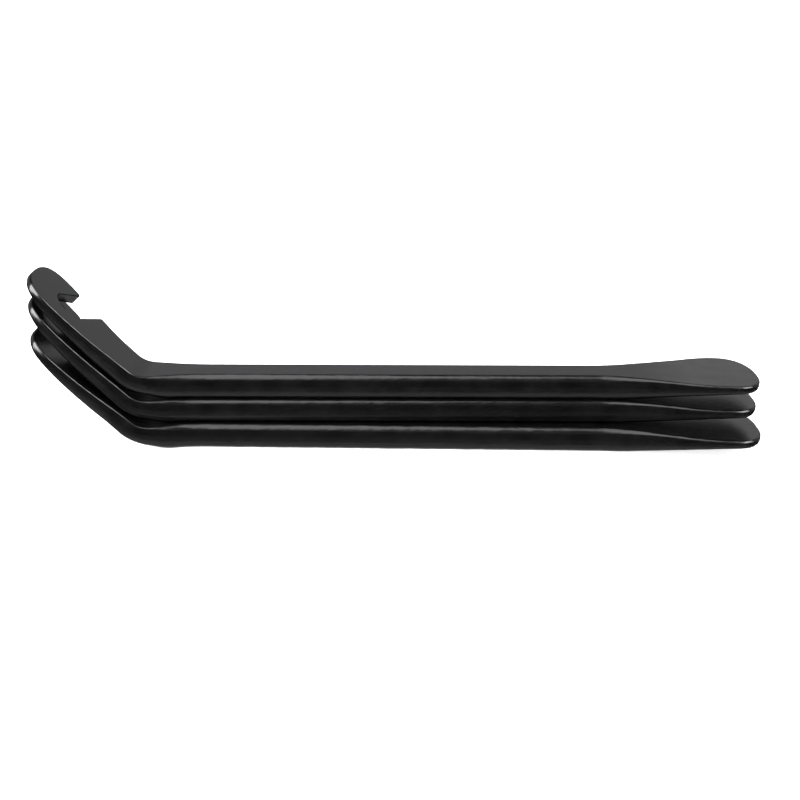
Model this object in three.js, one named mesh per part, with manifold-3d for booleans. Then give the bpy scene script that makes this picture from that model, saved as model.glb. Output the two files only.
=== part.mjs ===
// A nested stack of three bicycle tyre levers, in millimetres, +Z up.
//
// Each lever is one forged bar: a slim straight handle, a broad thin spoon at the +X end
// and a hooked arm at the -X end, bent upwards, with a spoke notch cut into its +Y edge.
// The levers lie on each other along their handles and are otherwise loose.
//
// A place on a lever is given by its station: the distance along the top face from the
// bend, positive towards the spoon and negative up the arm towards the hook tip.

import * as THREE from "three";
import { mergeVertices } from "three/addons/utils/BufferGeometryUtils.js";
import Module from "manifold-3d";

const { smoothstep, degToRad, lerp } = THREE.MathUtils;

// Handle
const HANDLE_HALF_WIDTH = 3.7;
const HANDLE_THICKNESS = 4.12;
const NEAR_CHAMFER = 0.77; // along the -Y edge of the top face
const FAR_CHAMFER = 0.3; // along the edge on the notch's side
const CHAMFER_FADES_IN = [-7, 1.5]; // distance up the arm; it is gone at the second
const CHAMFER_FADES_OUT = [72, 86];
const UNDER_ROUND_DEPTH = 2.4;
const UNDER_ROUND_INSET = 1.15;
const BEND_TO_CENTRE = 40; // the lever's own origin lies this far along the handle

// Spoon
const SPOON_TIP = 100.5;
const SPOON_HALF_WIDTH = 8.8;
const SPOON_WIDENS = [73.2, 95.6];
const SPOON_END_LENGTH = 4.7;
const SPOON_END_POWER = 2.4;
const SPOON_TIP_THICKNESS = 1.3;
const SPOON_THINS = [74.5, 97];
const SPOON_DROP = 0.26;
const SPOON_DROPS = [80.4, 95.6];

// Hooked arm
const BEND_LENGTH = 3.1;
const ARM_HALF_WIDTH = 7.2;
const ARM_WIDENS = [-10.4, 22]; // distance up the arm; it starts on the handle
const BEND_SWELL_REACH = 4;
const ARM_ROOT = 2; // distance up the arm where the thinning turns from quick to slow
const ARM_ROOT_THICKNESS = 3;
const HOOK_TIP_THICKNESS = 1.15;
const ARM_THINNING_POWER = 1.3; // above 1, the arm thins faster towards its tip
const THINNING_STARTS = -3.6;
const HOOK_END_LENGTH = 6.7;
const HOOK_END_POWER = 2.9;

// The +Y side of both ends is a little wider than the other, by these shares of the width
const HOOK_FAR_WIDENING = 0.18;
const HOOK_FAR_WIDENS = [6, 18];
const SPOON_FAR_WIDENING = 0.14;
const SPOON_FAR_BULGE = [94, 5.5]; // its middle and its reach along the spoon

// Edges of the thin ends
const EDGE_BREAK = 0.15;
const END_ROUND_SHARE = 0.55; // rounding under a thin edge, as a share of its thickness

// Spoke notch, measured back from the hook tip and across from the centre line
const NOTCH_FLOOR_Y = -3.2;
const NOTCH_SHOULDER = [13.05, 6.35];
const NOTCH_CORNER = 9.8;
const NOTCH_POCKET_RADIUS = 3.3;
const NOTCH_POCKET_CENTRE = 8.8;
const NOTCH_BARB = [7.75, 6.6];
const NOTCH_CLEARANCE = 4; // how far the cutter runs past the edge and both faces

// Stack: the levers differ slightly, as loose hand-finished tools do
const STACK_GAP = 0.05;
const PITCH = HANDLE_THICKNESS + STACK_GAP;
const LEVERS = [
  {
    name: "bottom_lever", bend: 38.3, curl: 9.5, arm: 24.4, swell: 1.2, notchShift: 3.35,
    x: 0.2, y: -1.3, yaw: -1.35,
  },
  {
    name: "middle_lever", bend: 42.4, curl: 7.7, arm: 25.05, swell: 0.7, notchShift: 0,
    x: -0.25, y: 0.3, yaw: 0.15,
  },
  {
    name: "top_lever", bend: 41.5, curl: 8.2, arm: 25, swell: 0.5, notchShift: 0,
    x: 0, y: 0, yaw: 0,
  },
];

// Mesh fineness
const TIP_STEPS = 9;
const BEND_STEPS = 6;
const ARM_STEPS = 6;
const WIDENING_STEPS = 10;
const UNDER_ROUND_STEPS = 4;
const POCKET_STEPS = 8;

const blackCoating = new THREE.MeshStandardMaterial({
  name: "black_coating",
  color: 0x1b1b1c,
  roughness: 0.42,
  metalness: 0,
});

// The point, and the tilt of the path, after travelling along an arc that turns upwards.
function travelArc(start, turn, arcLength, travelled) {
  const radius = arcLength / turn;
  const tilt = start.tilt + travelled / radius;
  return {
    x: start.x - radius * (Math.sin(tilt) - Math.sin(start.tilt)),
    z: start.z + radius * (Math.cos(start.tilt) - Math.cos(tilt)),
    tilt,
  };
}

// The top face seen from the side: level along the handle, then a tight bend and a
// gently curling arm.
function topFaceAt(station, lever) {
  if (station >= 0) {
    const drop = SPOON_DROP * smoothstep(station, ...SPOON_DROPS);
    return { x: station, z: -drop, tilt: 0 };
  }
  const bendTravel = Math.min(-station, BEND_LENGTH);
  const bent = travelArc({ x: 0, z: 0, tilt: 0 }, degToRad(lever.bend), BEND_LENGTH, bendTravel);
  const armTravel = -station - bendTravel;
  return travelArc(bent, degToRad(lever.curl), lever.arm - BEND_LENGTH, armTravel);
}

// Half the width of the plan outline, before its ends are rounded off. The bar swells
// a little where it is bent.
function fullHalfWidthAt(station, lever) {
  const arm = (ARM_HALF_WIDTH - HANDLE_HALF_WIDTH) * smoothstep(-station, ...ARM_WIDENS);
  const swell = lever.swell * Math.exp(-((station / BEND_SWELL_REACH) ** 2));
  const spoon = (SPOON_HALF_WIDTH - HANDLE_HALF_WIDTH) * smoothstep(station, ...SPOON_WIDENS);
  return HANDLE_HALF_WIDTH + arm + swell + spoon;
}

// How much wider than the near side the far side of the plan outline is.
function farWideningAt(station) {
  const hook = HOOK_FAR_WIDENING * smoothstep(-station, ...HOOK_FAR_WIDENS);
  const [middle, reach] = SPOON_FAR_BULGE;
  const spoon = SPOON_FAR_WIDENING * Math.exp(-(((station - middle) / reach) ** 2));
  return 1 + hook + spoon;
}

function thicknessAt(station, lever) {
  const armShare = smoothstep(-station, THINNING_STARTS, ARM_ROOT);
  const alongArm = Math.max(0, (-station - ARM_ROOT) / (lever.arm - ARM_ROOT));
  const thinned = alongArm ** ARM_THINNING_POWER;
  const armThickness = lerp(ARM_ROOT_THICKNESS, HOOK_TIP_THICKNESS, thinned);
  const spoonShare = smoothstep(station, ...SPOON_THINS);
  const handleAndSpoon = lerp(HANDLE_THICKNESS, SPOON_TIP_THICKNESS, spoonShare);
  return lerp(handleAndSpoon, armThickness, armShare);
}

// How much of the handle's cross-section is present: 1 along the handle, 0 on the thin ends.
function handleShareAt(station) {
  const fromArm = 1 - smoothstep(-station, 3 * THINNING_STARTS, ARM_ROOT);
  const intoSpoon = THREE.MathUtils.clamp(
    (station - SPOON_WIDENS[0]) / (SPOON_WIDENS[1] - SPOON_WIDENS[0]), 0, 1);
  return fromArm * (1 - intoSpoon ** 2);
}

// The chamfer along one edge of the top face; the thin ends keep only a broken edge.
function chamferAt(station, side) {
  const fromArm = 1 - smoothstep(-station, ...CHAMFER_FADES_IN);
  const share = fromArm * (1 - smoothstep(station, ...CHAMFER_FADES_OUT));
  return lerp(EDGE_BREAK, side < 0 ? NEAR_CHAMFER : FAR_CHAMFER, share);
}

// The edge seen in cross-section, from the top face round to the underside. Each point is
// an inset from the plan outline and a depth below the top face.
function edgeProfileAt(station, side, lever) {
  const share = handleShareAt(station);
  const thickness = thicknessAt(station, lever);
  const chamfer = chamferAt(station, side);
  const endRound = END_ROUND_SHARE * thickness;
  const roundDepth = lerp(endRound, UNDER_ROUND_DEPTH, share);
  const roundInset = lerp(endRound, UNDER_ROUND_INSET, share);
  const profile = [[chamfer, 0], [0, chamfer]];
  for (let step = 0; step <= UNDER_ROUND_STEPS; step += 1) {
    const angle = (Math.PI / 2) * (step / UNDER_ROUND_STEPS);
    const inset = roundInset * (1 - Math.cos(angle));
    const depth = thickness - roundDepth * (1 - Math.sin(angle));
    profile.push([inset, depth]);
  }
  return profile;
}

// A point of the lever in its own frame.
function placePoint(station, y, depth, lever) {
  const { x, z, tilt } = topFaceAt(station, lever);
  return [
    x - depth * Math.sin(tilt) - BEND_TO_CENTRE,
    y,
    z - depth * Math.cos(tilt),
  ];
}

// A rounded end of the plan outline: a superellipse quarter from the tip inwards.
function endOutline(tip, length, power, inwards, lever) {
  const points = [];
  for (let step = 0; step < TIP_STEPS; step += 1) {
    const angle = (Math.PI / 2) * (1 - step / TIP_STEPS);
    const along = Math.sin(angle) ** (2 / power);
    const across = Math.cos(angle) ** (2 / power);
    const station = tip + inwards * length * (1 - along);
    const half = step === 0 ? 0 : fullHalfWidthAt(station, lever) * across;
    points.push({ station, half });
  }
  return points;
}

function straightOutline(from, to, steps, lever) {
  const points = [];
  for (let step = 0; step < steps; step += 1) {
    const station = lerp(from, to, step / steps);
    points.push({ station, half: fullHalfWidthAt(station, lever) });
  }
  return points;
}

// One side of the plan outline, from the hook tip to the spoon tip.
function planOutline(lever) {
  const hookEnd = HOOK_END_LENGTH - lever.arm;
  const spoonEnd = SPOON_TIP - SPOON_END_LENGTH;
  return [
    ...endOutline(-lever.arm, HOOK_END_LENGTH, HOOK_END_POWER, 1, lever),
    ...straightOutline(hookEnd, -BEND_LENGTH, ARM_STEPS, lever),
    ...straightOutline(-BEND_LENGTH, 0, BEND_STEPS, lever),
    ...straightOutline(0, -ARM_WIDENS[0], BEND_STEPS, lever),
    ...straightOutline(-ARM_WIDENS[0], SPOON_WIDENS[0], 1, lever),
    ...straightOutline(SPOON_WIDENS[0], spoonEnd, WIDENING_STEPS, lever),
    { station: spoonEnd, half: fullHalfWidthAt(spoonEnd, lever) },
    ...endOutline(SPOON_TIP, SPOON_END_LENGTH, SPOON_END_POWER, -1, lever).reverse(),
  ];
}

// The outline's outward normal, as its parts along and across the lever.
function outlineNormal(outline, index) {
  if (index === 0) return { along: -1, across: 0 };
  if (index === outline.length - 1) return { along: 1, across: 0 };
  const run = outline[index + 1].station - outline[index - 1].station;
  const rise = outline[index + 1].half - outline[index - 1].half;
  const length = Math.hypot(run, rise);
  return { along: -rise / length, across: run / length };
}

// One closed ring of points around the lever: the near edge from top to bottom, then the
// far edge from bottom to top.
function ringAt(outline, index, lever) {
  const { station, half } = outline[index];
  const normal = outlineNormal(outline, index);
  const edgeOn = (side, width) => edgeProfileAt(station, side, lever).map(([inset, depth]) => (
    placePoint(station - inset * normal.along, side * (width - inset * normal.across), depth, lever)));
  return [...edgeOn(-1, half), ...edgeOn(1, half * farWideningAt(station)).reverse()];
}

// Merge equal points and drop the triangles that collapse where the outline closes.
function closedGeometry(positions, indices) {
  const raw = new THREE.BufferGeometry();
  raw.setAttribute("position", new THREE.Float32BufferAttribute(positions, 3));
  raw.setIndex(indices);
  const merged = mergeVertices(raw);
  const kept = [];
  const index = merged.getIndex().array;
  for (let i = 0; i < index.length; i += 3) {
    const [a, b, c] = index.slice(i, i + 3);
    if (a !== b && b !== c && c !== a) kept.push(a, b, c);
  }
  merged.setIndex(kept);
  return merged;
}

// The forged bar before its notch is cut: rings joined from the hook tip to the spoon tip.
function leverBlank(lever) {
  const outline = planOutline(lever);
  const rings = outline.map((_, index) => ringAt(outline, index, lever));
  const ringSize = rings[0].length;
  const indices = [];
  for (let ring = 0; ring < rings.length - 1; ring += 1) {
    for (let point = 0; point < ringSize; point += 1) {
      const next = (point + 1) % ringSize;
      const a = ring * ringSize + point;
      const b = ring * ringSize + next;
      const c = a + ringSize;
      const d = b + ringSize;
      indices.push(a, b, c, b, d, c);
    }
  }
  return closedGeometry(rings.flat(2), indices);
}

// The notch seen square to the arm: a slanting shoulder, a floor parallel to the arm, a
// round pocket and an undercut barb, open past the arm's +Y edge.
function notchShape() {
  const shoulder = new THREE.Vector2(...NOTCH_SHOULDER);
  const corner = new THREE.Vector2(NOTCH_CORNER, NOTCH_FLOOR_Y);
  const barb = new THREE.Vector2(...NOTCH_BARB);
  const pocket = new THREE.Vector2(NOTCH_POCKET_CENTRE, NOTCH_FLOOR_Y + NOTCH_POCKET_RADIUS);
  const barbReach = barb.clone().sub(pocket);
  const tangentAngle = barbReach.angle() + Math.acos(NOTCH_POCKET_RADIUS / barbReach.length());
  const shoulderSlope = shoulder.clone().sub(corner).setLength(NOTCH_CLEARANCE);
  const barbEdgeStart = new THREE.Vector2(Math.cos(tangentAngle), Math.sin(tangentAngle))
    .multiplyScalar(NOTCH_POCKET_RADIUS).add(pocket);
  const barbSlope = barb.clone().sub(barbEdgeStart).setLength(NOTCH_CLEARANCE);
  const shape = new THREE.Shape();
  shape.moveTo(shoulder.x + shoulderSlope.x, shoulder.y + shoulderSlope.y);
  shape.lineTo(barb.x + barbSlope.x, barb.y + barbSlope.y);
  shape.lineTo(barbEdgeStart.x, barbEdgeStart.y);
  shape.absarc(pocket.x, pocket.y, NOTCH_POCKET_RADIUS, tangentAngle, 1.5 * Math.PI, false);
  shape.lineTo(corner.x, corner.y);
  return shape;
}

// The cutter for the notch, standing square to the arm at the middle of the notch.
function notchCutter(lever) {
  const depth = ARM_ROOT_THICKNESS + 2 * NOTCH_CLEARANCE;
  const cutter = new THREE.ExtrudeGeometry(notchShape(), {
    depth,
    bevelEnabled: false,
    curveSegments: POCKET_STEPS,
  });
  const anchor = NOTCH_CORNER - lever.arm;
  const { tilt } = topFaceAt(anchor, lever);
  const [x, y, z] = placePoint(anchor, 0, 0, lever);
  cutter.translate(-NOTCH_CORNER, lever.notchShift, NOTCH_CLEARANCE - depth);
  cutter.rotateY(tilt);
  cutter.translate(x, y, z);
  cutter.deleteAttribute("normal");
  cutter.deleteAttribute("uv");
  return mergeVertices(cutter);
}

function toSolid(wasm, geometry) {
  return new wasm.Manifold(new wasm.Mesh({
    numProp: 3,
    vertProperties: new Float32Array(geometry.getAttribute("position").array),
    triVerts: new Uint32Array(geometry.getIndex().array),
  }));
}

function fromSolid(solid) {
  const mesh = solid.getMesh();
  const geometry = new THREE.BufferGeometry();
  geometry.setAttribute("position", new THREE.BufferAttribute(mesh.vertProperties, 3));
  geometry.setIndex(new THREE.BufferAttribute(mesh.triVerts, 1));
  geometry.computeVertexNormals();
  return geometry;
}

function makeLever(wasm, lever, place) {
  const blank = toSolid(wasm, leverBlank(lever));
  const notched = blank.subtract(toSolid(wasm, notchCutter(lever)));
  const mesh = new THREE.Mesh(fromSolid(notched), blackCoating.clone());
  mesh.name = lever.name;
  mesh.position.set(lever.x, lever.y, place * PITCH);
  mesh.rotation.z = degToRad(lever.yaw);
  return mesh;
}

// Stand the stack on z = 0 with its bounding box centred over the origin.
function centreOnFloor(group) {
  const box = new THREE.Box3().setFromObject(group, true);
  const centre = box.getCenter(new THREE.Vector3());
  group.position.set(-centre.x, -centre.y, -box.min.z);
}

const wasm = await Module();
wasm.setup();

const stack = new THREE.Group();
LEVERS.forEach((lever, place) => stack.add(makeLever(wasm, lever, place)));
centreOnFloor(stack);

export default stack;
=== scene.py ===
"""The looks of a nested stack of three black forged tyre levers, in metres, +Z up.

Each lever is one bar: a slim straight handle, a broad thin spoon at the +X end and a
hooked arm at the -X end, bent upwards, with a spoke notch in its +Y edge.

A place on a lever is given by its station: the distance along the top face from the
bend, positive towards the spoon and negative up the arm towards the hook tip.
"""

import math

import bpy
import numpy as np
from mathutils import Matrix, Vector, noise
from mathutils.geometry import delaunay_2d_cdt


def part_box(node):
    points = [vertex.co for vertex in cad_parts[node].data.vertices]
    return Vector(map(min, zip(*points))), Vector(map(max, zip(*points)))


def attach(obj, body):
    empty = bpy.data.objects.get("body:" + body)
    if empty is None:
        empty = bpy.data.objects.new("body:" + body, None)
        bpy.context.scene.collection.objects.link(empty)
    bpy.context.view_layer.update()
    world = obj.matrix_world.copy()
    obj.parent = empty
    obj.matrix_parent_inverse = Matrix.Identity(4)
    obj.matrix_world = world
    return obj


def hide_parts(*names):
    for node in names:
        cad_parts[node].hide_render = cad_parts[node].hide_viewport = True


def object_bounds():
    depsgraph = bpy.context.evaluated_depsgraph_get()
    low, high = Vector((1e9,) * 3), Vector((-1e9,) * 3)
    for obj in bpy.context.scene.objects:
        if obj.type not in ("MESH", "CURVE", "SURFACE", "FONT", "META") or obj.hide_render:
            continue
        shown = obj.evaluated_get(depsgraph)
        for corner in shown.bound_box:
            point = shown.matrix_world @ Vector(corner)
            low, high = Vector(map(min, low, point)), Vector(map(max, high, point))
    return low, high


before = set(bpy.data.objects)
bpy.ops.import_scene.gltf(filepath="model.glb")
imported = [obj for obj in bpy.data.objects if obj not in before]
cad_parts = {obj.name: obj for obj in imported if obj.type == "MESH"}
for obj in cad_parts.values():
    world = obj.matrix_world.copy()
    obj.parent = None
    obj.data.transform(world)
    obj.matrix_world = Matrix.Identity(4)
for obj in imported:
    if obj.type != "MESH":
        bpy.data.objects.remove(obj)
cad_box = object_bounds()

MM = 0.001

# Handle
HANDLE_HALF_WIDTH = 3.7 * MM
HANDLE_THICKNESS = 4.12 * MM
NEAR_CHAMFER = 0.77 * MM  # along the -Y edge of the top face
FAR_CHAMFER = 0.30 * MM  # along the edge on the notch's side
CHAMFER_FADES_IN = (-7.0 * MM, 1.5 * MM)  # distance up the arm; it is gone at the second
CHAMFER_FADES_OUT = (72.0 * MM, 86.0 * MM)
CHAMFER_BULGE = 0.40  # 0.5 would be a flat chamfer; less makes it a rounded one
CHAMFER_CREASE_ROUND = 0.10 * MM  # where the chamfer meets the top face

# Spoon
SPOON_TIP = 100.5 * MM
SPOON_HALF_WIDTH = 8.8 * MM
SPOON_WIDENS = (73.2 * MM, 95.6 * MM)
SPOON_END_LENGTH = 4.7 * MM
SPOON_END_POWER = 2.4
SPOON_TIP_THICKNESS = 1.3 * MM
SPOON_THINS = (74.5 * MM, 97.0 * MM)
SPOON_DROP = 0.26 * MM
SPOON_DROPS = (80.4 * MM, 95.6 * MM)
SPOON_EDGE = 0.28 * MM

# Hooked arm
BEND_LENGTH = 3.1 * MM
ARM_HALF_WIDTH = 7.2 * MM
ARM_WIDENS = (-10.4 * MM, 22.0 * MM)  # distance up the arm; it starts on the handle
BEND_SWELL_REACH = 4.0 * MM
ARM_ROOT = 2.0 * MM
ARM_ROOT_THICKNESS = 3.0 * MM
HOOK_TIP_THICKNESS = 1.15 * MM
ARM_THINNING_POWER = 1.3  # above 1, the arm thins faster towards its tip
THINNING_STARTS = -3.6 * MM  # distance up the arm, so it is on the handle
HANDLE_SECTION_FADES = (3 * THINNING_STARTS, ARM_ROOT)  # distance up the arm
HOOK_END_LENGTH = 6.7 * MM
HOOK_END_POWER = 2.9
ARM_EDGE = 0.17 * MM

# The +Y side of both ends is a little wider than the other, by these shares of the width
HOOK_FAR_WIDENING = 0.18
HOOK_FAR_WIDENS = (6.0 * MM, 18.0 * MM)
SPOON_FAR_WIDENING = 0.14
SPOON_FAR_BULGE = (94.0 * MM, 5.5 * MM)  # its middle and its reach along the spoon

# Side wall below its middle and on to the underside: inset and depth as shares of thickness
HANDLE_UNDER = ((0.0, 0.45), (0.035, 0.69), (0.10, 0.89), (0.25, 1.0))
THIN_UNDER = ((0.0, 0.40), (0.045, 0.66), (0.13, 0.87), (0.28, 1.0))

# The same in the notch, in lengths of its edge, with the depth measured from the underside
CUT_UNDER = ((0.0, -2.2), (0.08, -1.1), (0.35, -0.35), (1.0, 0.0))

# How far the roundings of these edges reach, as shares of the length named
THIN_EDGE_ROUND = 0.3  # of the thin ends' top edge
BULGE_ROUND = 0.4  # of the chamfer
CHAMFER_END_ROUND = 0.2  # of the chamfer
NOTCH_UNDER_ROUND = 0.2  # of the notch's edge
FORGED_UNDER_ROUND = 0.055  # of the thickness

# Spoke notch, measured back from the hook tip and across from the centre line
NOTCH_CORNER = Vector((9.8, -3.2)) * MM
NOTCH_SHOULDER = Vector((13.05, 6.35)) * MM
NOTCH_POCKET = Vector((8.8, 0.1)) * MM
NOTCH_POCKET_RADIUS = 3.3 * MM
NOTCH_BARB = Vector((7.75, 6.6)) * MM
SHOULDER_ROUND = 0.5 * MM
CORNER_ROUND = 0.3 * MM
BARB_ROUND = 0.80 * MM
NOTCH_EDGE = 0.14 * MM
EDGE_SOFTENS = 2.5 * MM  # distance from the notch over which the forged edge takes over

# Stack: each lever's shape and its place from the top lever's, as in the CAD model
PITCH = HANDLE_THICKNESS + 0.05 * MM
BEND_TO_CENTRE = 40.0 * MM
LEVERS = {
    "bottom_lever": {"bend": 38.3, "curl": 9.5, "arm": 24.4 * MM, "swell": 1.2 * MM,
                     "notch": 3.35 * MM, "shift": (0.20 * MM, -1.3 * MM, -2 * PITCH), "yaw": -1.35},
    "middle_lever": {"bend": 42.4, "curl": 7.7, "arm": 25.05 * MM, "swell": 0.7 * MM,
                     "notch": 0.0, "shift": (-0.25 * MM, 0.3 * MM, -PITCH), "yaw": 0.15},
    "top_lever": {"bend": 41.5, "curl": 8.2, "arm": 25.0 * MM, "swell": 0.5 * MM,
                  "notch": 0.0, "shift": (0.0, 0.0, 0.0), "yaw": 0.0},
}

# Mesh fineness
OUTLINE_SPACING = 0.32 * MM
NOTCH_SPACING = 0.13 * MM
FACE_SPACING = 0.7 * MM
BEND_FACE_SPACING = 0.25 * MM
FACE_MARGIN = 0.35 * FACE_SPACING  # least distance of the faces' inner points from the edge
CORNER_STEPS = 4
END_STEPS = 240
SIDE_STEPS = 500
POCKET_STEPS = 60
NOTCH_TIP_STEPS = 8
NOTCH_CORNER_STEPS = 6
EDGE_HALVINGS = 40

# Unevenness of the forged and coated edges
EDGE_WAVE = 0.030 * MM
EDGE_WAVE_LENGTH = 2.2 * MM
EDGE_GRAIN = 0.022 * MM
EDGE_GRAIN_LENGTH = 0.45 * MM
SEED_STEP = Vector((11.3, 5.7, 2.9))  # from one lever's unevenness to the next one's


# ---------------------------------------------------------------- the lever's shape

def smoothstep(value, low, high):
    share = min(max((value - low) / (high - low), 0.0), 1.0)
    return share * share * (3.0 - 2.0 * share)


def lerp(start, end, share):
    return start + (end - start) * share


def travel_arc(x, z, tilt, turn, arc_length, travelled):
    """The place and tilt of the path after travelling along an arc that turns upwards."""
    radius = arc_length / turn
    new_tilt = tilt + travelled / radius
    return (
        x - radius * (math.sin(new_tilt) - math.sin(tilt)),
        z + radius * (math.cos(tilt) - math.cos(new_tilt)),
        new_tilt,
    )


def top_face_at(station, lever):
    """The top face seen from the side: level, then a tight bend and a gently curling arm."""
    if station >= 0:
        return station, -SPOON_DROP * smoothstep(station, *SPOON_DROPS), 0.0
    bend_travel = min(-station, BEND_LENGTH)
    bent = travel_arc(0.0, 0.0, 0.0, math.radians(lever["bend"]), BEND_LENGTH, bend_travel)
    arm_length = lever["arm"] - BEND_LENGTH
    return travel_arc(*bent, math.radians(lever["curl"]), arm_length, -station - bend_travel)


def width_at(station, lever, side):
    """How far the plan outline lies from the centre line on the -Y or the +Y side, before
    its ends are rounded off."""
    arm = (ARM_HALF_WIDTH - HANDLE_HALF_WIDTH) * smoothstep(-station, *ARM_WIDENS)
    swell = lever["swell"] * math.exp(-((station / BEND_SWELL_REACH) ** 2))
    spoon = (SPOON_HALF_WIDTH - HANDLE_HALF_WIDTH) * smoothstep(station, *SPOON_WIDENS)
    width = HANDLE_HALF_WIDTH + arm + swell + spoon
    return width if side < 0 else width * far_widening_at(station)


def far_widening_at(station):
    """How much wider than the near side the far side of the plan outline is."""
    middle, reach = SPOON_FAR_BULGE
    hook = HOOK_FAR_WIDENING * smoothstep(-station, *HOOK_FAR_WIDENS)
    spoon = SPOON_FAR_WIDENING * math.exp(-(((station - middle) / reach) ** 2))
    return 1.0 + hook + spoon


def thickness_at(station, lever):
    arm_share = smoothstep(-station, THINNING_STARTS, ARM_ROOT)
    along_arm = max(0.0, (-station - ARM_ROOT) / (lever["arm"] - ARM_ROOT))
    thinned = min(along_arm, 1.0) ** ARM_THINNING_POWER
    arm = lerp(ARM_ROOT_THICKNESS, HOOK_TIP_THICKNESS, thinned)
    spoon_share = smoothstep(station, *SPOON_THINS)
    bar = lerp(HANDLE_THICKNESS, SPOON_TIP_THICKNESS, spoon_share)
    return lerp(bar, arm, arm_share)


def handle_share_at(station):
    """How much of the handle's cross-section is present: 1 along it, 0 on the thin ends."""
    from_arm = 1.0 - smoothstep(-station, *HANDLE_SECTION_FADES)
    into_spoon = (station - SPOON_WIDENS[0]) / (SPOON_WIDENS[1] - SPOON_WIDENS[0])
    return from_arm * (1.0 - min(max(into_spoon, 0.0), 1.0) ** 2)


# ---------------------------------------------------------------- the plan outline

def rounded_corner(before, corner, after, setback, steps):
    """Points on the arc that rounds a corner, from setback before it to setback after it."""
    towards = (before - corner).normalized()
    away = (after - corner).normalized()
    centre = corner + (towards + away) * (setback / (1.0 + towards.dot(away)))
    start = corner + towards * setback - centre
    end = corner + away * setback - centre
    turn = start.angle(end)
    points = []
    for step in range(steps + 1):
        share = step / steps
        spoke = start * math.sin((1.0 - share) * turn) + end * math.sin(share * turn)
        points.append(centre + spoke / math.sin(turn))
    return points


def resampled(points, spacing):
    """The same open path with evenly spaced points."""
    path = np.array([(p.x, p.y) for p in points])
    runs = np.hypot(*np.diff(path, axis=0).T)
    along = np.concatenate([[0.0], np.cumsum(runs)])
    count = max(2, round(along[-1] / spacing) + 1)
    wanted = np.linspace(0.0, along[-1], count)
    xs = np.interp(wanted, along, path[:, 0])
    ys = np.interp(wanted, along, path[:, 1])
    return [Vector((x, y)) for x, y in zip(xs, ys)]


def end_quarter(tip, length, power, inwards, lever, side):
    """One side of a rounded end: a superellipse quarter, from the tip inwards."""
    points = []
    for step in range(END_STEPS):
        angle = math.pi / 2 * (1.0 - (step / END_STEPS) ** 2)
        along = math.sin(angle) ** (2.0 / power)
        across = max(math.cos(angle), 0.0) ** (2.0 / power) if step else 0.0
        station = tip + inwards * length * (1.0 - along)
        points.append(Vector((station, side * width_at(station, lever, side) * across)))
    return points


def edge_point(station, lever, side=1):
    """The point of one side of the outline at a station, away from its rounded ends."""
    return Vector((station, side * width_at(station, lever, side)))


def side_outline(lever, side):
    """One side of the outline, from the hook tip to the spoon tip."""
    hook_end = HOOK_END_LENGTH - lever["arm"]
    spoon_end = SPOON_TIP - SPOON_END_LENGTH
    stations = [lerp(hook_end, spoon_end, step / SIDE_STEPS) for step in range(SIDE_STEPS + 1)]
    sides = [edge_point(station, lever, side) for station in stations]
    hook = end_quarter(-lever["arm"], HOOK_END_LENGTH, HOOK_END_POWER, 1, lever, side)
    spoon = end_quarter(SPOON_TIP, SPOON_END_LENGTH, SPOON_END_POWER, -1, lever, side)
    return hook + sides + spoon[::-1]


def edge_crossing(start, through, lever):
    """Where the line from start through a second point meets the +Y side of the outline."""
    low, high = 0.0, 2.0
    for _ in range(EDGE_HALVINGS):
        middle = (low + high) / 2
        point = start.lerp(through, middle)
        if point.y < edge_point(point.x, lever).y:
            low = middle
        else:
            high = middle
    return start.lerp(through, low)


def notch_outline(lever):
    """The notch from its shoulder round the floor and pocket to the barb, in plan."""
    to_station = Vector((-lever["arm"], lever["notch"]))
    corner = NOTCH_CORNER + to_station
    pocket = NOTCH_POCKET + to_station
    barb_reach = NOTCH_BARB - NOTCH_POCKET
    lean = math.atan2(barb_reach.y, barb_reach.x)
    tangent = lean + math.acos(NOTCH_POCKET_RADIUS / barb_reach.length)
    pocket_arc = []
    for step in range(POCKET_STEPS + 1):
        angle = lerp(1.5 * math.pi, tangent, step / POCKET_STEPS)
        reach = Vector((math.cos(angle), math.sin(angle))) * NOTCH_POCKET_RADIUS
        pocket_arc.append(pocket + reach)
    shoulder = edge_crossing(corner, NOTCH_SHOULDER + to_station, lever)
    barb = edge_crossing(pocket_arc[-1], NOTCH_BARB + to_station, lever)
    before = edge_point(shoulder.x + MM, lever)
    after = edge_point(barb.x - MM, lever)
    return [
        *rounded_corner(before, shoulder, corner, SHOULDER_ROUND, NOTCH_TIP_STEPS),
        *rounded_corner(shoulder, corner, pocket_arc[0], CORNER_ROUND, NOTCH_CORNER_STEPS),
        *pocket_arc,
        *rounded_corner(pocket_arc[-1], barb, after, BARB_ROUND, NOTCH_TIP_STEPS),
    ]


def closed_outline(lever):
    """The whole outline, anticlockwise from above, and how soft the edge is at each point:
    0 in the notch, which is cut last, and 1 on the forged edges away from it."""
    near = side_outline(lever, -1)
    far = side_outline(lever, 1)
    notch = notch_outline(lever)
    handle_side = [p for p in far if p.x > notch[0].x]
    hook_side = [p for p in far if p.x < notch[-1].x]
    outer = [notch[-1], *hook_side[::-1], *near[1:-1], *handle_side[::-1], notch[0]]
    outer_points = resampled(outer, OUTLINE_SPACING)
    notch_points = resampled(notch, NOTCH_SPACING)[1:-1]
    last = len(outer_points) - 1
    softness = [
        smoothstep(min(index, last - index) * OUTLINE_SPACING, 0.0, EDGE_SOFTENS)
        for index, _ in enumerate(outer_points)
    ]
    return outer_points + notch_points, softness + [0.0] * len(notch_points)


def outward_normals(loop):
    normals = []
    for index, _ in enumerate(loop):
        run = loop[(index + 1) % len(loop)] - loop[index - 1]
        normals.append(Vector((run.y, -run.x)).normalized())
    return normals


# ---------------------------------------------------------------- the edge's cross-section

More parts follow.
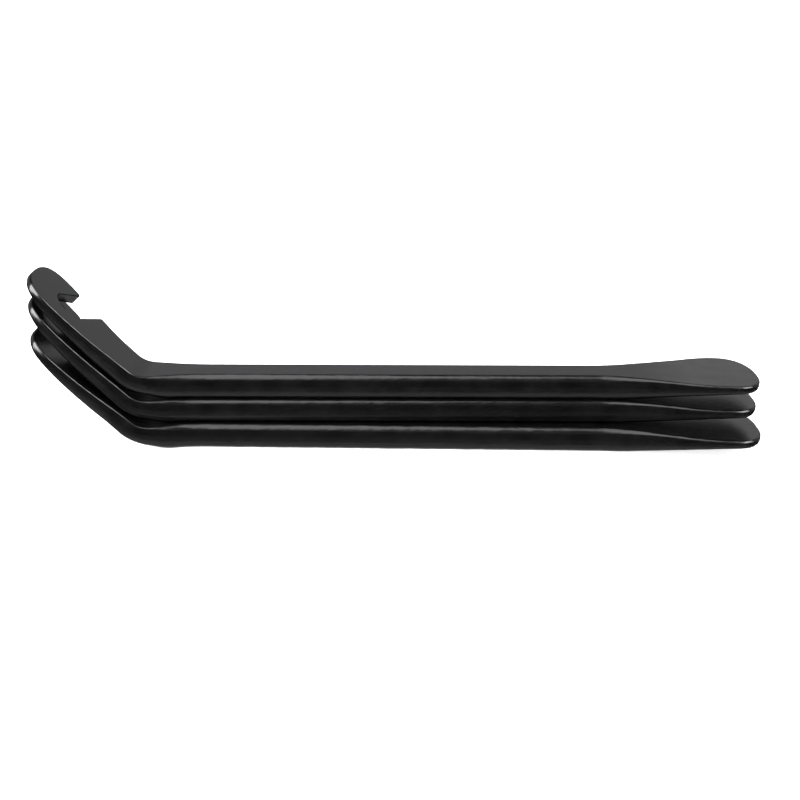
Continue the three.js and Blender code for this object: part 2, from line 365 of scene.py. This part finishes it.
def chamfer_at(place, thin_chamfer):
    """The chamfer of the top face at a point of the outline, and how much of it is the
    handle's; it fades into the thin ends' own small chamfer."""
    from_arm = 1.0 - smoothstep(-place.x, *CHAMFER_FADES_IN)
    share = from_arm * (1.0 - smoothstep(place.x, *CHAMFER_FADES_OUT))
    handle_chamfer = NEAR_CHAMFER if place.y < 0 else FAR_CHAMFER
    return lerp(thin_chamfer, handle_chamfer, share), share


def edge_corners(place, lever, softness):
    """The corners of the edge from the top face to the underside at a point of the outline,
    each with its inset from the outline, its depth and how far its rounding reaches."""
    share = handle_share_at(place.x)
    thickness = thickness_at(place.x, lever)
    forged_edge = ARM_EDGE if place.x < 0 else SPOON_EDGE
    thin_edge = lerp(NOTCH_EDGE, forged_edge, softness)
    chamfer, chamfer_share = chamfer_at(place, thin_edge)
    bulge = CHAMFER_BULGE * chamfer
    corners = [
        (chamfer, 0.0, lerp(THIN_EDGE_ROUND * thin_edge, CHAMFER_CREASE_ROUND, chamfer_share)),
        (bulge, bulge, BULGE_ROUND * chamfer),
        (0.0, chamfer, CHAMFER_END_ROUND * chamfer),
    ]
    for cut, thin, thick in zip(CUT_UNDER, THIN_UNDER, HANDLE_UNDER):
        sharp = Vector((0.0, thickness)) + Vector(cut) * NOTCH_EDGE
        forged = Vector(thin).lerp(Vector(thick), share) * thickness
        inset, depth = sharp.lerp(forged, softness)
        rounding = lerp(NOTCH_UNDER_ROUND * NOTCH_EDGE, FORGED_UNDER_ROUND * thickness, softness)
        corners.append((inset, depth, rounding))
    return corners


def edge_profile(place, lever, softness):
    """Points (inset, depth) from the top face round to the underside."""
    corners = edge_corners(place, lever, softness)
    knots = [Vector((inset, depth)) for inset, depth, _ in corners]
    inwards = Vector((1.0, 0.0))
    before = [knots[0] + inwards, *knots[:-1]]
    after = [*knots[1:], knots[-1] + inwards]
    profile = []
    for index, (_, _, setback) in enumerate(corners):
        profile += rounded_corner(before[index], knots[index], after[index], setback, CORNER_STEPS)
    return profile


def place_point(station, y, depth, lever):
    """A point of the lever in its own frame."""
    x, z, tilt = top_face_at(station, lever)
    return Vector((
        x - depth * math.sin(tilt) - BEND_TO_CENTRE,
        y,
        z - depth * math.cos(tilt),
    ))


# ---------------------------------------------------------------- the lever's mesh

def face_points(loop):
    """Grid points inside a closed loop, closer together where the bar bends."""
    stations = []
    station = min(p.x for p in loop)
    while station < max(p.x for p in loop):
        stations.append(station)
        near_bend = -2.0 * BEND_LENGTH < station < BEND_LENGTH
        station += BEND_FACE_SPACING if near_bend else FACE_SPACING
    reach = max(abs(p.y) for p in loop)
    rows = np.arange(-reach, reach, FACE_SPACING)
    grid = np.array([(s, y) for s in stations for y in rows])
    ring = np.array([(p.x, p.y) for p in loop])
    return [Vector(p) for p in grid[inside_by(grid, ring, FACE_MARGIN)]]


def inside_by(points, ring, margin):
    """Which points lie inside the ring and at least the margin away from it."""
    start = ring
    end = np.roll(ring, -1, axis=0)
    x = points[:, 0:1]
    y = points[:, 1:2]
    spans = (start[:, 1] > y) != (end[:, 1] > y)
    with np.errstate(divide="ignore", invalid="ignore"):
        slope = (end[:, 0] - start[:, 0]) / (end[:, 1] - start[:, 1])
        crossing_x = start[:, 0] + slope * (y - start[:, 1])
    crossings = np.sum(spans & (x < crossing_x), axis=1)
    distance = np.min(np.hypot(start[:, 0] - x, start[:, 1] - y), axis=1)
    return (crossings % 2 == 1) & (distance > margin)


def filled(loop, interior):
    """Triangles over a closed loop and its interior points, as indices into both together."""
    points = [point / MM for point in (*loop, *interior)]
    ring = [list(range(len(loop)))]
    _, _, faces, origins, _, _ = delaunay_2d_cdt(points, [], ring, 1, 1e-5)
    return [tuple(origins[corner][0] for corner in face) for face in faces]


def roughened(point, normal, seed):
    """The point moved a little along its normal, as forging and coating leave an edge."""
    wave = noise.noise(point / EDGE_WAVE_LENGTH + seed)
    grain = noise.noise(point / EDGE_GRAIN_LENGTH - seed)
    return point + normal * (EDGE_WAVE * wave + EDGE_GRAIN * grain)


def lever_mesh(name, lever, seed):
    """One closed mesh: the edge's loops, joined, and the top face and underside filled."""
    outline, softness = closed_outline(lever)
    normals = outward_normals(outline)
    profiles = [edge_profile(p, lever, soft) for p, soft in zip(outline, softness)]
    loop_count = len(profiles[0])
    vertices = []
    flat_loops = []
    for ring in range(loop_count):
        flat = [p - n * prof[ring].x for p, n, prof in zip(outline, normals, profiles)]
        flat_loops.append(flat)
        for index, spot in enumerate(flat):
            home = outline[index]
            depth = profiles[index][ring].y
            shallower = thickness_at(spot.x, lever) / thickness_at(home.x, lever)
            vertices.append(place_point(spot.x, spot.y, depth * shallower, lever))
    size = len(outline)
    faces = []
    for ring in range(loop_count - 1):
        for index in range(size):
            after = (index + 1) % size
            a = ring * size + index
            b = ring * size + after
            faces.append((a + size, b + size, b, a))
    top_interior = face_points(flat_loops[0])
    top_start = len(vertices)
    vertices += [place_point(p.x, p.y, 0.0, lever) for p in top_interior]
    for face in filled(flat_loops[0], top_interior):
        faces.append([c if c < size else top_start + c - size for c in face])
    under_interior = face_points(flat_loops[-1])
    under_start = len(vertices)
    for p in under_interior:
        vertices.append(place_point(p.x, p.y, thickness_at(p.x, lever), lever))
    last_ring = (loop_count - 1) * size
    for face in filled(flat_loops[-1], under_interior):
        faces.append([last_ring + c if c < size else under_start + c - size for c in face[::-1]])
    mesh = bpy.data.meshes.new(name)
    mesh.from_pydata(vertices, [], faces)
    mesh.update()
    roughen_edges(mesh, range(size * (CORNER_STEPS + 1), last_ring), seed)
    return mesh


def roughen_edges(mesh, edge_vertices, seed):
    """Moves the vertices of the edge loops; the flat faces and their crease stay true."""
    places = {}
    for index in edge_vertices:
        vertex = mesh.vertices[index]
        places[index] = roughened(vertex.co, vertex.normal, seed)
    for index, place in places.items():
        mesh.vertices[index].co = place
    mesh.update()


def top_lever_origin():
    """The top lever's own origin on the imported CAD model."""
    low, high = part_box("top_lever")
    return Vector((
        high.x - (SPOON_TIP - BEND_TO_CENTRE),
        low.y + SPOON_HALF_WIDTH,
        low.z + HANDLE_THICKNESS,
    ))


def make_lever(name, lever, seed, material):
    mesh = lever_mesh(name + "_forging", lever, seed)
    mesh.materials.append(material)
    mesh.polygons.foreach_set("use_smooth", [True] * len(mesh.polygons))
    turn = Matrix.Rotation(math.radians(lever["yaw"]), 4, "Z")
    place = Matrix.Translation(top_lever_origin() + Vector(lever["shift"]))
    mesh.transform(place @ turn)
    piece = bpy.data.objects.new(name + "_forging", mesh)
    bpy.context.scene.collection.objects.link(piece)
    shading = piece.modifiers.new("even_shading", "WEIGHTED_NORMAL")
    shading.weight = 60
    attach(piece, name)
    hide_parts(name)
    return piece


# ---------------------------------------------------------------- the black coating

MOTTLE_SCALE = 260.0
MOTTLE_DETAIL = 4.0
MOTTLE_BUMP = 0.03 * MM
MOTTLE_BUMP_STRENGTH = 0.5
GRAIN_SCALE = 1700.0
GRAIN_DETAIL = 3.0
GRAIN_BUMP = 0.018 * MM
GRAIN_BUMP_STRENGTH = 0.7
NOISE_ROUGHNESS = 0.6
COLOUR_STOPS = ((0.30, 0.0012), (0.70, 0.0030))
SHEEN_STOPS = ((0.25, 0.19), (0.75, 0.27))
COOL_TINT = 1.03  # blue against red and green in every ramp


def add_noise(nodes, links, coordinates, scale, detail):
    texture = nodes.new("ShaderNodeTexNoise")
    texture.inputs["Scale"].default_value = scale
    texture.inputs["Detail"].default_value = detail
    texture.inputs["Roughness"].default_value = NOISE_ROUGHNESS
    links.new(coordinates, texture.inputs["Vector"])
    return texture.outputs["Fac"]


def add_ramp(nodes, links, value, stops):
    """A colour ramp with stops of (position, grey)."""
    ramp = nodes.new("ShaderNodeValToRGB")
    elements = ramp.color_ramp.elements
    while len(elements) < len(stops):
        elements.new(0.5)
    for element, (position, grey) in zip(elements, stops):
        element.position = position
        element.color = (grey, grey, grey * COOL_TINT, 1.0)
    links.new(value, ramp.inputs["Fac"])
    return ramp.outputs["Color"]


def add_bump(nodes, links, height, distance, strength, under=None):
    bump = nodes.new("ShaderNodeBump")
    bump.inputs["Strength"].default_value = strength
    bump.inputs["Distance"].default_value = distance
    links.new(height, bump.inputs["Height"])
    if under is not None:
        links.new(under, bump.inputs["Normal"])
    return bump.outputs["Normal"]


def black_coating():
    """A satin black coating on forged steel: mottled, finely grained and slightly uneven."""
    material = bpy.data.materials.new("black_coating")
    material.use_nodes = True
    nodes = material.node_tree.nodes
    links = material.node_tree.links
    shader = nodes["Principled BSDF"]
    place = nodes.new("ShaderNodeTexCoord").outputs["Object"]
    mottle = add_noise(nodes, links, place, MOTTLE_SCALE, MOTTLE_DETAIL)
    grain = add_noise(nodes, links, place, GRAIN_SCALE, GRAIN_DETAIL)
    colour = add_ramp(nodes, links, mottle, COLOUR_STOPS)
    links.new(colour, shader.inputs["Base Color"])
    sheen = add_ramp(nodes, links, mottle, SHEEN_STOPS)
    links.new(sheen, shader.inputs["Roughness"])
    broad = add_bump(nodes, links, mottle, MOTTLE_BUMP, MOTTLE_BUMP_STRENGTH)
    fine = add_bump(nodes, links, grain, GRAIN_BUMP, GRAIN_BUMP_STRENGTH, under=broad)
    links.new(fine, shader.inputs["Normal"])
    return material


# ---------------------------------------------------------------- floor, light and camera

# Radius and height, in metres
FLOOR_PROFILE = ((0.4, 0.0), (4.2, 0.0), (5.0, 0.15), (5.6, 0.6), (5.9, 1.3), (6.0, 3.5))
FLOOR_SIDES = 64
FLOOR_GAP = 0.03 * MM

# Brightness of the surroundings from straight below (0) past the horizon (0.5) to overhead (1)
SURROUNDINGS = (
    (0.09, 0.60), (0.17, 0.30), (0.25, 0.08), (0.35, 0.02), (0.48, 0.06),
    (0.55, 0.32), (0.69, 0.32), (0.77, 0.05), (1.0, 0.10),
)

# Name, centre from the middle of the CAD box, width, height and radiance
SOFTBOXES = (
    ("overhead", (-0.12, -0.13, 0.35), 0.30, 0.42, 3.2),
    ("left", (-0.36, -0.19, 0.18), 0.48, 0.17, 14.0),
    ("right", (0.30, -0.09, 0.27), 0.32, 0.20, 9.0),
    ("rim", (0.21, -0.085, 0.35), 0.15, 0.20, 5.0),
    ("back", (0.30, 0.55, 0.16), 0.30, 0.16, 0.15),
)

CAMERA_ELEVATION = 16.55
CAMERA_ROLL = 0.2
CAMERA_DISTANCE = 0.2389
CAMERA_LENS = 64.35
CAMERA_TARGET = (1.38 * MM, 0.0, -5.19 * MM)  # from the top lever's own origin


def pale_floor():
    """A plain pale floor that turns up far away into a low wall all round. It glows a
    little, so that shadows on it stay faint."""
    vertices = []
    for radius, height in FLOOR_PROFILE:
        for side in range(FLOOR_SIDES):
            angle = math.tau * side / FLOOR_SIDES
            vertices.append((radius * math.cos(angle), radius * math.sin(angle), height))
    faces = [tuple(range(FLOOR_SIDES))]
    for ring in range(len(FLOOR_PROFILE) - 1):
        for side in range(FLOOR_SIDES):
            after = (side + 1) % FLOOR_SIDES
            a = ring * FLOOR_SIDES + side
            b = ring * FLOOR_SIDES + after
            faces.append((a, a + FLOOR_SIDES, b + FLOOR_SIDES, b))
    mesh = bpy.data.meshes.new("floor")
    mesh.from_pydata(vertices, [], faces)
    mesh.polygons.foreach_set("use_smooth", [True] * len(mesh.polygons))
    floor = bpy.data.objects.new("floor", mesh)
    floor.location.z = cad_box[0].z - FLOOR_GAP
    bpy.context.scene.collection.objects.link(floor)
    material = bpy.data.materials.new("floor_white")
    material.use_nodes = True
    shader = material.node_tree.nodes["Principled BSDF"]
    shader.inputs["Base Color"].default_value = (0.85, 0.85, 0.85, 1.0)
    shader.inputs["Roughness"].default_value = 0.9
    shader.inputs["Specular IOR Level"].default_value = 0.0
    shader.inputs["Emission Color"].default_value = (1.0, 1.0, 1.0, 1.0)
    shader.inputs["Emission Strength"].default_value = 0.80
    mesh.materials.append(material)
    floor.visible_glossy = False


def studio_surroundings():
    """Plain surroundings whose brightness depends only on the height above the horizon."""
    world = bpy.data.worlds.new("studio")
    bpy.context.scene.world = world
    world.use_nodes = True
    nodes = world.node_tree.nodes
    links = world.node_tree.links
    direction = nodes.new("ShaderNodeTexCoord").outputs["Generated"]
    split = nodes.new("ShaderNodeSeparateXYZ")
    links.new(direction, split.inputs["Vector"])
    spread = nodes.new("ShaderNodeMapRange")
    spread.inputs["From Min"].default_value = -1.0
    links.new(split.outputs["Z"], spread.inputs["Value"])
    glow = add_ramp(nodes, links, spread.outputs["Result"], SURROUNDINGS)
    links.new(glow, nodes["Background"].inputs["Color"])


def softbox(name, centre, target, width, height, radiance):
    """A rectangular light at centre that faces the target."""
    data = bpy.data.lights.new(name, "AREA")
    data.shape = "RECTANGLE"
    data.size = width
    data.size_y = height
    data.energy = radiance * math.pi * width * height
    light = bpy.data.objects.new(name, data)
    light.location = centre
    light.rotation_mode = "QUATERNION"
    light.rotation_quaternion = (Vector(target) - Vector(centre)).to_track_quat("-Z", "Y")
    light.visible_camera = False
    bpy.context.scene.collection.objects.link(light)


def studio_lights():
    middle = (cad_box[0] + cad_box[1]) / 2
    for name, offset, width, height, radiance in SOFTBOXES:
        softbox(name, middle + Vector(offset), middle, width, height, radiance)


def front_camera():
    """The camera in front of the long side, a little above it."""
    rise = math.radians(CAMERA_ELEVATION)
    roll = math.radians(CAMERA_ROLL)
    back = Vector((0.0, -math.cos(rise), math.sin(rise)))
    level_up = Vector((0.0, math.sin(rise), math.cos(rise)))
    level_right = Vector((1.0, 0.0, 0.0))
    right = math.cos(roll) * level_right + math.sin(roll) * level_up
    up = math.cos(roll) * level_up - math.sin(roll) * level_right
    data = bpy.data.cameras.new("camera")
    data.lens = CAMERA_LENS
    data.clip_start = 0.01
    data.clip_end = 50.0
    camera = bpy.data.objects.new("camera", data)
    target = top_lever_origin() + Vector(CAMERA_TARGET)
    turn = Matrix((right, up, back)).transposed().to_4x4()
    camera.matrix_world = Matrix.Translation(target + back * CAMERA_DISTANCE) @ turn
    bpy.context.scene.collection.objects.link(camera)
    bpy.context.scene.camera = camera


bpy.context.scene.view_settings.view_transform = "Standard"
front_camera()
coating = black_coating()
for place, (lever_name, lever_shape) in enumerate(LEVERS.items()):
    make_lever(lever_name, lever_shape, SEED_STEP * place, coating)
pale_floor()
studio_surroundings()
studio_lights()
